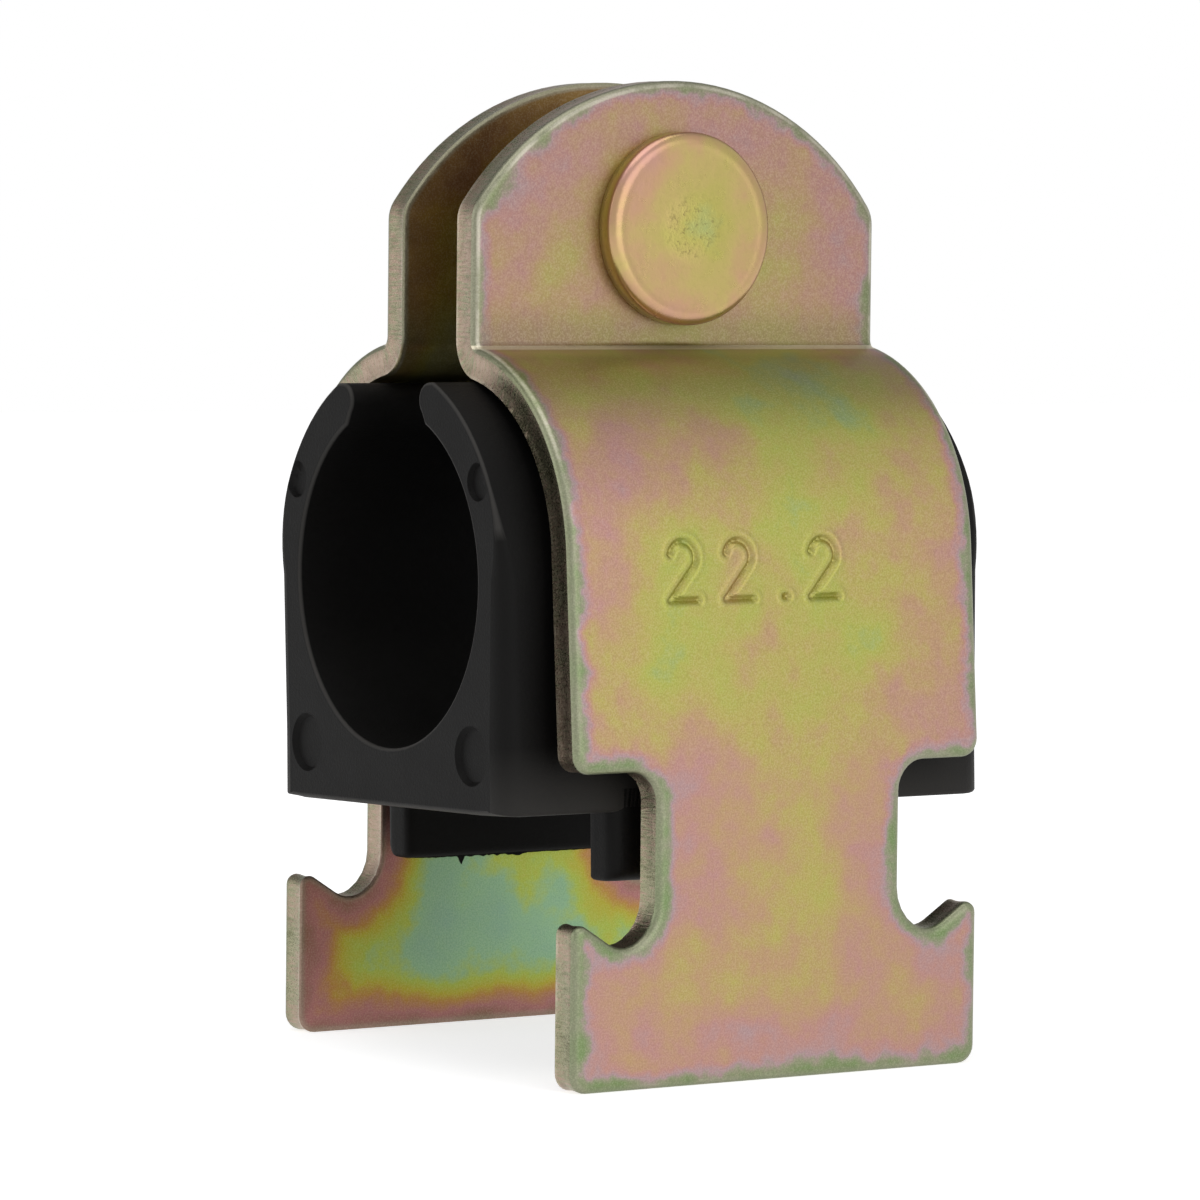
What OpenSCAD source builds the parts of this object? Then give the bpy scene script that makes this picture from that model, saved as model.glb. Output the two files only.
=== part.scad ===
/* [Part] */
// Which sub-part to show, or all of them

/* [Straps] */
// Width of each strap along the tube, mm
strap_width = 31.75; // [25:0.25:45]
// Thickness of the strap steel, mm
plate = 2.2; // [1.5:0.1:3]
// Play between the cushion's flank and the foot's inside face, mm
side_play = 1.9; // [1.6:0.05:2.4]
// Half distance between the two tabs, inside faces, mm
tab_half_gap = 3.3; // [2.8:0.05:4]
// Height of the top of the tab above the bolt axis, mm
tab_over_bolt = 9.7; // [9:0.1:12]
// Radius of the arched top of the tab, mm
tab_top_radius = 18.9; // [17:0.1:24]
// Radius of the two upper corners of the tab, mm
tab_corner = 2.2; // [1:0.1:3]
// How much smaller the shoulder bend is than the cushion, radius on radius, mm
shoulder_inset = 2.2; // [2:0.05:2.4]
// Height of the centre of the shoulder bend, mm
shoulder_height = 33.3; // [33.2:0.1:36]
// Lean of the strap's side above the strut lips, degrees
side_lean = 4.4; // [2:0.1:5]
// Radius of the tight bend at the foot of the tab, outside face, mm
tab_bend = 0.5; // [0.3:0.1:1]
// Half width of the neck between the strut lips, mm
neck_half = 9.5; // [8:0.1:10.5]
// Height of the bottom of the hook that takes the strut lip, mm
hook_bottom = 9.0; // [7:0.1:9.3]
// Radius of the hook beside the neck, mm
hook_radius = 3.0; // [2.2:0.1:3.2]
// Height of the top of the hook's horn, mm
horn_top = 10.7; // [10.2:0.1:11.5]
// Radius of the horn's rounded tip, mm
horn_tip = 0.7; // [0.5:0.05:1]
// Slope of the horn's inner side, degrees
horn_slope = 33; // [25:1:45]
// Height of the lower edge of the body above the strut lips, mm
body_bottom = 20.3; // [19:0.1:21]
// Radius of the fillet between neck and body, mm
neck_fillet = 2.0; // [1:0.1:2.5]
// Radius of the outer corners of foot and body, mm
corner = 1.2; // [0.8:0.1:2]

/* [Bolt and nut] */
// Height of the bolt axis above the top of the shoulder, mm
bolt_rise = 7.5; // [7.2:0.1:9]
// Diameter of the bolt, mm
bolt_dia = 6.35; // [6:0.05:6.4]
// Length of the bolt under its head, mm
bolt_length = 22.2; // [21:0.1:25]
// Diameter of the round head, mm
head_dia = 12.7; // [11:0.1:14]
// Thickness of the round head, mm
head_thick = 1.6; // [1.2:0.1:2.2]
// Width of the hex nut across its flats, mm
nut_flats = 11.1; // [11:0.1:12]
// Height of the hex part of the nut, mm
nut_hex = 5.6; // [5:0.1:6]
// Height of the whole nut with its collar, mm
nut_height = 7.9; // [7.6:0.1:8]

/* [Cushion] */
// Radius of the bore that holds the tube, mm
bore_radius = 11.1; // [10.8:0.05:11.3]
// Distance of the bore's centre below the centre of the shoulder bend, mm
bore_fall = 1.4; // [1.3:0.05:1.6]
// Wall of the cushion round the bore, mm
cushion_wall = 2.9; // [2.5:0.05:3.6]
// Half length of the cushion along the tube, mm
cushion_half = 19.0; // [18:0.1:22]
// Thickness of the cushion's base under the bore, mm
base_wall = 3.8; // [3:0.1:4.2]
// Gap between the flat on the lips and the top of the shoulder's inside, mm
lip_gap = 0.5; // [0.4:0.05:1]
// Half width of the slot between the lips, mm
slot_half = 4.14; // [3.6:0.02:5]
// Depth of the two legs under the base, mm
leg_depth = 4.5; // [3:0.1:4.8]
// Thickness of each leg, mm
leg_thick = 2.8; // [2:0.1:3.5]
// Half length of each leg along the tube, mm
leg_half = 10.7; // [9:0.1:12]
// Turn of the loose cushion about the tube axis, degrees
cushion_turn = 1.8; // [0:0.1:2]

/* [Hidden] */
$fn = 96;
eps = 0.01;
over = 1;
cut = 60;
half_w = strap_width / 2;
foot_flat = 21.5;
cushion_radius = bore_radius + cushion_wall;
base_drop = bore_radius + base_wall;
foot_half_gap = cushion_radius + side_play;
shoulder_radius = cushion_radius - shoulder_inset;
outer_radius = shoulder_radius + plate;
lip_top = shoulder_radius + bore_fall - lip_gap;
bolt_height = shoulder_height + outer_radius + bolt_rise;
strap_height = bolt_height + tab_over_bolt;
bore_height = shoulder_height - bore_fall;
lean_start = shoulder_height + shoulder_radius * sin(side_lean);
side_run = (lean_start - foot_flat) * tan(side_lean);
shoulder_x = foot_half_gap - side_run - shoulder_radius * cos(side_lean);
tab_outer = tab_half_gap + plate;
arch_centre = strap_height - tab_top_radius;
corner_y = half_w - tab_corner;
corner_z = arch_centre + sqrt(pow(tab_top_radius - tab_corner, 2) - pow(corner_y, 2));
arch_y = corner_y * tab_top_radius / (tab_top_radius - tab_corner);
arc_step = 5;
bend_step = 12;
small_fn = 32;
square_play = 0.2;
hole_play = 0.8;
square_hole = bolt_dia + square_play;
clear_hole = bolt_dia + hole_play;
neck_sink = 0.1;
bolt_point = 0.6;
head_side = 0.45;
head_slope = 0.78;
head_bevel = 0.12;
head_dome = 0.4;
thread_play = 0.05;
nut_corner = nut_flats / 2 / cos(30);
nut_face_over = 0.05;
nut_face = nut_flats / 2 + nut_face_over;
nut_bevel = 0.45;
nut_skirt_over = 0.1;
nut_skirt = nut_corner + nut_skirt_over;
collar_inset = 0.45;
collar_edge = 0.5;
collar_wall = 0.65;
collar_lip = 0.6;
collar_radius = nut_flats / 2 - collar_inset;
ring_radius = collar_radius - collar_wall;
ring_height = 1.45;
ring_cover = 0.5;
ring_flare = 0.2;
bore_edge = 0.35;
lip_round = 1.0;
base_round = 1.4;
leg_round = 0.8;
dimple_small = 1.25;
dimple_big = 1.95;
dimple_deep = 0.35;
dimple_inset = 2.7;
dimple_corner = 3.75;
dimple_up = [cushion_radius - dimple_inset, lip_top / 2];
dimple_low = [cushion_radius - dimple_corner, dimple_corner - base_drop];
steel = [0.70, 0.66, 0.45];
black = [0.12, 0.12, 0.12];
cream = [0.85, 0.85, 0.78];

// Point on a circle in the X-Z section
function on_arc(cx, cz, r, a) = [cx + r * cos(a), cz + r * sin(a)];

// Tight bend between shoulder and tab, tangent to both
side_low = [foot_half_gap, foot_flat];
bend_out = tab_bend + plate;
bend_cx = tab_outer + tab_bend;
bend_cz = shoulder_height
        + sqrt(pow(outer_radius + tab_bend, 2) - pow(bend_cx - shoulder_x, 2));
bend_angle = atan2(bend_cz - shoulder_height, bend_cx - shoulder_x);

// Outside face of the strap section, from the foot up to the tab
outer_face = concat(
    [[foot_half_gap + plate, 0], [foot_half_gap + plate, foot_flat]],
    [for (a = [side_lean : arc_step : bend_angle - arc_step / 2])
        on_arc(shoulder_x, shoulder_height, outer_radius, a)],
    [on_arc(shoulder_x, shoulder_height, outer_radius, bend_angle)],
    [for (a = [bend_angle + 180 - bend_step : -bend_step : 180 + 1])
        on_arc(bend_cx, bend_cz, tab_bend, a)],
    [[tab_outer, bend_cz], [tab_outer, strap_height + over]]);

// Inside face of the strap section, from the tab down to the foot
inner_face = concat(
    [[tab_half_gap, strap_height + over], [tab_half_gap, bend_cz]],
    [for (a = [180 + bend_step : bend_step : bend_angle + 180 - 1])
        on_arc(bend_cx, bend_cz, bend_out, a)],
    [on_arc(shoulder_x, shoulder_height, shoulder_radius, bend_angle)],
    [for (a = [bend_angle - arc_step : -arc_step : side_lean + arc_step / 2])
        on_arc(shoulder_x, shoulder_height, shoulder_radius, a)],
    [on_arc(shoulder_x, shoulder_height, shoulder_radius, side_lean)],
    [side_low, [foot_half_gap, 0]]);

// Strap section swept over its full width
module strap_sheet() {
    rotate([90, 0, 0])
        linear_extrude(height = strap_width, center = true)
            polygon(concat(outer_face, inner_face));
}

// Space that one strut lip takes in the side of the strap
module lip_notch() {
    // open space between the horn and the body
    translate([-cut / 2, neck_half + neck_fillet, horn_top])
        cube([cut, cut, body_bottom - horn_top]);
    // straight part beside the neck
    translate([-cut / 2, neck_half, hook_bottom + hook_radius])
        cube([cut, neck_fillet + eps, body_bottom - neck_fillet - hook_bottom - hook_radius]);
    // fillet under the body
    face_disc(neck_half + neck_fillet, body_bottom - neck_fillet, neck_fillet);
    // round bottom of the hook, cut off by the slope that rises to the horn's tip
    intersection() {
        face_disc(neck_half + hook_radius, hook_bottom + hook_radius, hook_radius);
        translate([0, half_w - horn_tip, horn_top - horn_tip])
            rotate([horn_slope, 0, 0])
                translate([-cut, -cut, horn_tip])
                    cube([2 * cut, 2 * cut, cut]);
    }
}

// Long disc across the part, seen as a circle in the face view
module face_disc(y, z, r) {
    translate([0, y, z])
        rotate([0, 90, 0])
            cylinder(r = r, h = cut, center = true);
}

// Material outside a rounded corner, removed from the strap
module corner_waste(y, z, sy, sz, r) {
    translate([0, y, z])
        difference() {
            translate([-cut / 2, min(0, sy * r) + (sy > 0 ? 0 : -over),
                       min(0, sz * r) + (sz > 0 ? 0 : -over)])
                cube([cut, r + over, r + over]);
            rotate([0, 90, 0])
                cylinder(r = r, h = cut + 2 * over, center = true, $fn = small_fn);
        }
}

// Face outline of the strap: arched tab, body, neck and foot
module face_outline() {
    difference() {
        union() {
            // straight-sided part up to the rounded corners of the tab
            translate([-cut / 2, -half_w, 0])
                cube([cut, strap_width, corner_z]);
            // rounded corners, tangent to the sides and to the arch
            for (y = [-corner_y, corner_y])
                face_disc(y, corner_z, tab_corner);
            // arched top between the two corners
            intersection() {
                face_disc(0, arch_centre, tab_top_radius);
                translate([-cut / 2, -arch_y, arch_centre])
                    cube([cut, 2 * arch_y, cut]);
            }
        }
        for (s = [0, 1])
            mirror([0, s, 0]) {
                lip_notch();
                corner_waste(half_w - corner, corner, 1, -1, corner);
                corner_waste(half_w - horn_tip, horn_top - horn_tip, 1, 1, horn_tip);
                corner_waste(half_w - corner, body_bottom + corner, 1, -1, corner);
            }
    }
}

// One strap half, formed from one piece of plate, on the +X side
module strap_half() {
    intersection() {
        strap_sheet();
        face_outline();
    }
}

// Strap half under the bolt head, with the square hole
module near_strap() {
    color(steel)
        difference() {
            strap_half();
            translate([tab_half_gap - over, -square_hole / 2, bolt_height - square_hole / 2])
                cube([plate + 2 * over, square_hole, square_hole]);
        }
}

// Strap half under the nut, with the round clearance hole
module far_strap() {
    color(steel)
        difference() {
            mirror([1, 0, 0]) strap_half();
            translate([-tab_outer - over, 0, bolt_height])
                rotate([0, 90, 0])
                    cylinder(d = clear_hole, h = plate + 2 * over);
        }
}

// Flat round head, square neck and shank of the bolt
module bolt() {
    color(steel)
        translate([tab_outer, 0, bolt_height])
            union() {
                rotate([0, 90, 0])
                    rotate_extrude()
                        polygon([[0, 0], [head_dia / 2, 0],
                                 [head_dia / 2, head_thick * head_side],
                                 [head_dia / 2 - head_thick * head_bevel,
                                  head_thick * head_slope],
                                 [head_dia / 2 - head_thick * head_dome, head_thick],
                                 [0, head_thick]]);
                translate([neck_sink - plate, -bolt_dia / 2, -bolt_dia / 2])
                    cube([plate, bolt_dia, bolt_dia]);
                rotate([0, -90, 0])
                    cylinder(d = bolt_dia, h = bolt_length - bolt_point);
                translate([bolt_point - bolt_length, 0, 0])
                    rotate([0, -90, 0])
                        cylinder(d1 = bolt_dia, d2 = bolt_dia - 2 * bolt_point, h = bolt_point);
            }
}

// Hex nut with a round collar that keeps the nylon ring
module lock_nut() {
    color(steel)
        translate([-tab_outer, 0, bolt_height])
            rotate([0, -90, 0])
                difference() {
                    union() {
                        intersection() {
                            cylinder(r = nut_corner, h = nut_hex, $fn = 6);
                            rotate_extrude()
                                polygon([[0, 0], [nut_face, 0], [nut_skirt, nut_bevel],
                                         [nut_skirt, nut_hex - nut_bevel],
                                         [nut_face, nut_hex], [0, nut_hex]]);
                        }
                        rotate_extrude()
                            polygon([[0, collar_edge], [collar_radius, collar_edge],
                                     [collar_radius, nut_height - collar_edge],
                                     [collar_radius - collar_edge, nut_height],
                                     [0, nut_height]]);
                    }
                    translate([0, 0, -over])
                        cylinder(r = bolt_dia / 2 + thread_play, h = nut_height + 2 * over);
                    translate([0, 0, nut_height - collar_lip - ring_height])
                        cylinder(r = ring_radius, h = ring_height);
                    translate([0, 0, nut_height - collar_lip - eps])
                        cylinder(r1 = ring_radius - ring_cover, r2 = ring_radius - ring_flare,
                                 h = collar_lip + over);
                }
}

// Nylon ring held in the nut's collar
module nylon_ring() {
    color(cream)
        translate([-tab_outer - nut_height + collar_lip, 0, bolt_height])
            rotate([0, 90, 0])
                difference() {
                    cylinder(r = ring_radius - eps, h = ring_height - eps);
                    translate([0, 0, -over])
                        cylinder(r = bolt_dia / 2 + thread_play, h = ring_height + 2 * over);
                }
}

// Cushion's solid body without bore, slot and dimples
module cushion_body() {
    intersection() {
        union() {
            rotate([90, 0, 0])
                cylinder(r = cushion_radius, h = 2 * cushion_half, center = true);
            hull()
                for (x = [-1, 1], y = [-1, 1])
                    translate([x * (cushion_radius - base_round),
                               y * (cushion_half - base_round), -base_drop])
                        cylinder(r = base_round, h = base_drop, $fn = small_fn);
        }
        translate([-cut / 2, -cut / 2, -cut / 2])
            cube([cut, cut, cut / 2 + lip_top]);
    }
}

// One leg under the base that keeps the cushion between the necks
module leg() {
    hull()
        for (y = [-1, 1]) {
            translate([cushion_radius - leg_round, y * (leg_half - leg_round),
                       -base_drop - leg_depth])
                cylinder(r = leg_round, h = leg_depth + over, $fn = small_fn);
            translate([cushion_radius - leg_thick + leg_round / 2,
                       y * (leg_half - leg_round / 2), -base_drop - leg_depth])
                cylinder(r = leg_round / 2, h = leg_depth + over, $fn = small_fn);
        }
}

// Rubber cushion with bore, slot between two lips, four dimples a side
module cushion() {
    color(black)
        translate([0, 0, bore_height])
            rotate([0, -cushion_turn, 0])
                difference() {
                    union() {
                        cushion_body();
                        leg();
                        mirror([1, 0, 0]) leg();
                    }
                    // bore for the tube, with a small chamfer at each end
                    rotate([90, 0, 0])
                        cylinder(r = bore_radius, h = 2 * cushion_half + 2 * over, center = true);
                    for (s = [-1, 1])
                        translate([0, s * (cushion_half - bore_edge), 0])
                            rotate([-s * 90, 0, 0])
                                cylinder(r1 = bore_radius, r2 = bore_radius + bore_edge + over,
                                         h = bore_edge + over);
                    // slot that lets the cushion open over the tube
                    translate([-slot_half, -cut / 2, 0])
                        cube([2 * slot_half, cut, cut / 2]);
                    // soft upper edges of the slot
                    for (s = [-1, 1])
                        translate([s * slot_half, 0, lip_top])
                            rotate([0, 45, 0])
                                cube([lip_round, cut, lip_round], center = true);
                    // dimples on both end faces
                    for (s = [-1, 1], x = [-1, 1]) {
                        translate([x * dimple_up[0], s * cushion_half, dimple_up[1]])
                            rotate([90, 0, 0])
                                cylinder(r = dimple_small, h = 2 * dimple_deep,
                                         center = true, $fn = small_fn);
                        translate([x * dimple_low[0], s * cushion_half, dimple_low[1]])
                            rotate([90, 0, 0])
                                cylinder(r = dimple_big, h = 2 * dimple_deep,
                                         center = true, $fn = small_fn);
                    }
                }
}

near_strap();
far_strap();
cushion();
bolt();
lock_nut();
nylon_ring();
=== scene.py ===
import bpy
import math
import numpy as np
from mathutils import Matrix, Vector
from mathutils.geometry import delaunay_2d_cdt


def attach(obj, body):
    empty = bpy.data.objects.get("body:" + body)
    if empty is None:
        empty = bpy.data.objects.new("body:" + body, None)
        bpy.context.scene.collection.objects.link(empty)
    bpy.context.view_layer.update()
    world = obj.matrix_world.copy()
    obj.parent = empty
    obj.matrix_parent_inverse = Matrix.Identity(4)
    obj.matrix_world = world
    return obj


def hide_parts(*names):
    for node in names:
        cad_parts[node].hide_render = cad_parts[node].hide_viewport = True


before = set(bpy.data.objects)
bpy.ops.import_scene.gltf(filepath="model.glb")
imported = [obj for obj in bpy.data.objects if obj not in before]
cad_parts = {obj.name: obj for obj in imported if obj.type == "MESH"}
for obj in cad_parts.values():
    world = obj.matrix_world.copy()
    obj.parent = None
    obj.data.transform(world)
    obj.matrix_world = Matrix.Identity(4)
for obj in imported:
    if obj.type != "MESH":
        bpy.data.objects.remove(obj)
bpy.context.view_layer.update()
MM = 0.001

# Sizes of the clamp in millimetres, the same as in the solid model
PLATE = 2.2
FOOT_HALF_GAP = 15.9
TAB_HALF_GAP = 3.3
STRAP_HALF = 15.875
STRAP_HEIGHT = 64.5
TAB_TOP_RADIUS = 18.9
TAB_CORNER = 2.2
SHOULDER_RADIUS = 11.8
SHOULDER_HEIGHT = 33.3
SIDE_LEAN = math.radians(4.4)
TAB_BEND = 0.5
FOOT_FLAT = 21.5
NECK_HALF = 9.5
HOOK_BOTTOM = 9.0
HOOK_RADIUS = 3.0
HOOK_FILLET = 2.0
HORN_TOP = 10.7
HORN_TIP = 0.7
HORN_SLOPE = math.radians(33)
BODY_BOTTOM = 20.3
NECK_FILLET = 2.0
CORNER = 1.2
BOLT_HEIGHT = 54.8
BOLT_DIA = 6.35
BOLT_LENGTH = 22.2
HEAD_DIA = 12.7
HEAD_THICK = 1.6
THREAD_PITCH = 1.27
NUT_FLATS = 11.1
NUT_HEX = 5.6
NUT_HEIGHT = 7.9
COLLAR_RADIUS = NUT_FLATS / 2 - 0.45
BORE_RADIUS = 11.1
BORE_HEIGHT = 31.9
CUSHION_RADIUS = 14.0
CUSHION_HALF = 19.0
BASE_DROP = 14.9
LIP_TOP = 12.7
SLOT_HALF = 4.14
LEG_DEPTH = 4.5
LEG_THICK = 2.8
LEG_HALF = 10.7
CUSHION_TURN = math.radians(1.8)
TAB_OUTER = TAB_HALF_GAP + PLATE

# Sheared edges of the straps: rounded over on the outside face, broken on the inside face
ROLL_WIDE = 0.62
ROLL_DEEP = 0.42
BURR_BREAK = 0.12
BURR_DEEP = BURR_BREAK * 0.6
RIM_RINGS = (0.06, 0.16, 0.30, 0.46, ROLL_WIDE, ROLL_WIDE + 0.25, 1.4)
# Depth under the outside face and inward tear of each row of the cut face
CUT_ROWS = ((0.62, 0.0), (0.95, 0.035), (1.35, 0.06), (1.75, 0.05), (PLATE - BURR_DEEP, 0.0))

# Pressed size figures: text, lower left corner on the flattened strap, height, way from figure to
# figure, half width and depth of the strokes, and the finely meshed margin round them
FIGURE_TEXT = "22.2"
FIGURE_PLACE = (-8.6, 31.1)
FIGURE_HEIGHT = 3.7
FIGURE_ADVANCE = 4.3
FIGURE_WIDE = 0.34
FIGURE_DEEP = 0.30
FIGURE_MARGIN = 0.9
# Distance from a sheared edge that the bolt hole's edge counts as, so it is rounded over less
HOLE_RIM = 0.45

# Spacing of the points of a strap's mesh: along its outline, on its faces and at the figures
OUTLINE_GAP = 0.55
FACE_GAP = 1.6
FIGURE_GAP = 0.11

# Camera of the photograph
CAM_AZIMUTH = math.radians(56.616)
CAM_ELEVATION = math.radians(3.516)
CAM_ROLL = math.radians(-0.614)
CAM_DISTANCE = 404.6
CAM_ASIDE = -1.908
CAM_TARGET_HEIGHT = 29.97
CAM_FOCAL = 181.6

# Outputs of the Light Path node that are read
LIGHT_PATH_CAMERA, LIGHT_PATH_GLOSSY, LIGHT_PATH_THROUGH = 0, 3, 6
# Direction of the dimmest part of the surroundings, up and behind the clamp
CEILING_WAY = (-0.5, 0.0, 0.86)
# Share of white that the floor gives by itself where the object's shadow falls
FLOOR_GLOW = 0.72


def arc(cx, cy, r, start, stop, step=6.0):
    """Points on an arc, angles in degrees."""
    count = max(2, int(abs(stop - start) / step) + 1)
    return [(cx + r * math.cos(math.radians(a)), cy + r * math.sin(math.radians(a)))
            for a in np.linspace(start, stop, count)]


def resample(loop, gap):
    """The loop with extra points, none further apart than gap."""
    out = []
    for (ax, ay), (bx, by) in zip(loop, loop[1:] + loop[:1]):
        length = math.hypot(bx - ax, by - ay)
        if length < 1e-6:
            continue
        count = max(1, math.ceil(length / gap))
        out += [(ax + (bx - ax) * i / count, ay + (by - ay) * i / count) for i in range(count)]
    return out


def cross_levels(loop, levels):
    """The loop with a point wherever a side of it crosses one of the levels."""
    out = []
    for a, b in zip(loop, loop[1:] + loop[:1]):
        out.append(a)
        hits = [(s - a[1]) / (b[1] - a[1]) for s in levels if (a[1] - s) * (b[1] - s) < 0]
        out += [(a[0] + (b[0] - a[0]) * k, a[1] + (b[1] - a[1]) * k) for k in sorted(hits)
                if 0.02 < k < 0.98]
    return out


def loop_normals(loop):
    """Unit normals that point into a loop that runs anticlockwise."""
    p = np.array(loop)
    t = np.roll(p, -1, 0) - np.roll(p, 1, 0)
    t /= np.linalg.norm(t, axis=1)[:, None]
    return np.stack([-t[:, 1], t[:, 0]], 1)


def distance_to_loop(points, loop, closed=True):
    """Distance of each point to a polyline."""
    a = np.array(loop)
    b = np.roll(a, -1, 0)
    if not closed:
        a, b = a[:-1], b[:-1]
    best = np.full(len(points), 1e9)
    for p, q in zip(a, b):
        d = q - p
        k = np.clip(((points - p) @ d) / max(d @ d, 1e-12), 0, 1)
        best = np.minimum(best, np.linalg.norm(points - p - k[:, None] * d, axis=1))
    return best


def inside(points, loop):
    """Whether each point lies inside a closed loop."""
    x, y = points[:, 0], points[:, 1]
    hit = np.zeros(len(points), bool)
    p = np.array(loop)
    for (ax, ay), (bx, by) in zip(p, np.roll(p, -1, 0)):
        cross = (ay > y) != (by > y)
        with np.errstate(divide="ignore", invalid="ignore"):
            at = (bx - ax) * (y - ay) / (by - ay) + ax
        hit ^= cross & (x < at)
    return hit


def triangulate(outline, holes, extra_loops, extra_points, rows=()):
    """Flat triangles of a sheet: its outline, holes, inner loops, loose points and cross rows."""
    verts, edges = [], []

    def add_loop(loop, closed=True):
        start = len(verts)
        verts.extend(loop)
        count = len(loop)
        edges.extend((start + i, start + (i + 1) % count) for i in range(count if closed else count - 1))

    add_loop(outline)
    for loop in list(holes) + list(extra_loops):
        add_loop(loop)
    for row in rows:
        add_loop(row, closed=False)
    verts.extend(extra_points)
    done = delaunay_2d_cdt([Vector(v) for v in verts], edges, [], 0, 1e-5)
    flat = np.array([tuple(v) for v in done[0]])
    faces = [tuple(f) for f in done[2]]
    centres = np.array([flat[list(f)].mean(0) for f in faces])
    keep = inside(centres, outline)
    for hole in holes:
        keep &= ~inside(centres, hole)
    faces = [f for f, k in zip(faces, keep) if k]
    used = sorted({i for f in faces for i in f})
    index = {old: new for new, old in enumerate(used)}
    return flat[used], [tuple(index[i] for i in f) for f in faces]


def flipped(faces):
    """The faces turned to look the other way."""
    return [tuple(reversed(face)) for face in faces]


def quads_between(rings, closed=True):
    """Quads that join each ring of point numbers to the next."""
    faces = []
    for upper, lower in zip(rings, rings[1:]):
        size = len(upper)
        for i in range(size if closed else size - 1):
            j = (i + 1) % size
            faces.append((upper[i], upper[j], lower[j], lower[i]))
    return faces


def make_object(name, verts, faces, attributes=(), sharp_angle=35):
    """A smooth shaded mesh object in metres from millimetre points."""
    mesh = bpy.data.meshes.new(name)
    mesh.from_pydata([tuple(float(c) * MM for c in v) for v in verts], [], faces)
    mesh.validate()
    for key, values in attributes:
        layer = mesh.attributes.new(key, "FLOAT", "POINT")
        layer.data.foreach_set("value", np.asarray(values, dtype=np.float32))
    mesh.shade_smooth()
    mesh.set_sharp_from_angle(angle=math.radians(sharp_angle))
    obj = bpy.data.objects.new(name, mesh)
    bpy.context.scene.collection.objects.link(obj)
    return obj


# Straps

LEAN_START = SHOULDER_HEIGHT + SHOULDER_RADIUS * math.sin(SIDE_LEAN)
SIDE_RUN = (LEAN_START - FOOT_FLAT) * math.tan(SIDE_LEAN)
SHOULDER_X = FOOT_HALF_GAP - SIDE_RUN - SHOULDER_RADIUS * math.cos(SIDE_LEAN)
BEND_CX = TAB_OUTER + TAB_BEND
BEND_CZ = SHOULDER_HEIGHT + math.sqrt((SHOULDER_RADIUS + PLATE + TAB_BEND) ** 2
                                      - (BEND_CX - SHOULDER_X) ** 2)
BEND_ANGLE = math.degrees(math.atan2(BEND_CZ - SHOULDER_HEIGHT, BEND_CX - SHOULDER_X))


def strap_stations():
    """Pairs of inside and outside points of the strap's section, from the foot up to the tab."""
    pairs = [((FOOT_HALF_GAP, 0), (FOOT_HALF_GAP + PLATE, 0)),
             ((FOOT_HALF_GAP, FOOT_FLAT - 1.5), (FOOT_HALF_GAP + PLATE, FOOT_FLAT - 1.5)),
             ((FOOT_HALF_GAP - 0.02, FOOT_FLAT), (FOOT_HALF_GAP + PLATE - 0.02, FOOT_FLAT))]
    lean = math.degrees(SIDE_LEAN)
    outer = SHOULDER_RADIUS + PLATE
    pairs += list(zip(arc(SHOULDER_X, SHOULDER_HEIGHT, SHOULDER_RADIUS, lean, BEND_ANGLE, 3),
                      arc(SHOULDER_X, SHOULDER_HEIGHT, outer, lean, BEND_ANGLE, 3)))
    pairs += list(zip(arc(BEND_CX, BEND_CZ, TAB_BEND + PLATE, BEND_ANGLE + 180, 180, 8)[1:],
                      arc(BEND_CX, BEND_CZ, TAB_BEND, BEND_ANGLE + 180, 180, 8)[1:]))
    pairs += [((TAB_HALF_GAP, STRAP_HEIGHT + 1), (TAB_OUTER, STRAP_HEIGHT + 1))]
    return pairs


STATIONS = strap_stations()
INSIDE = np.array([p[0] for p in STATIONS], float)
OUTSIDE = np.array([p[1] for p in STATIONS], float)
MIDDLE = (INSIDE + OUTSIDE) / 2
RUN = np.concatenate([[0], np.cumsum(np.linalg.norm(np.diff(MIDDLE, axis=0), axis=1))])
TAB_START_RUN, TAB_START_Z = RUN[-2], MIDDLE[-2][1]


def tab_run(z):
    """Length along the sheet of a height on the tab."""
    return TAB_START_RUN + z - TAB_START_Z


def on_sheet(flat, depth):
    """Points in space for points on the flattened strap, depth mm under its outside face."""
    y, s = flat[:, 0], flat[:, 1]
    inner = np.stack([np.interp(s, RUN, INSIDE[:, k]) for k in (0, 1)], 1)
    outer = np.stack([np.interp(s, RUN, OUTSIDE[:, k]) for k in (0, 1)], 1)
    k = (depth / PLATE)[:, None]
    section = outer * (1 - k) + inner * k
    return np.stack([section[:, 0], y, section[:, 1]], 1)


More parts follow.
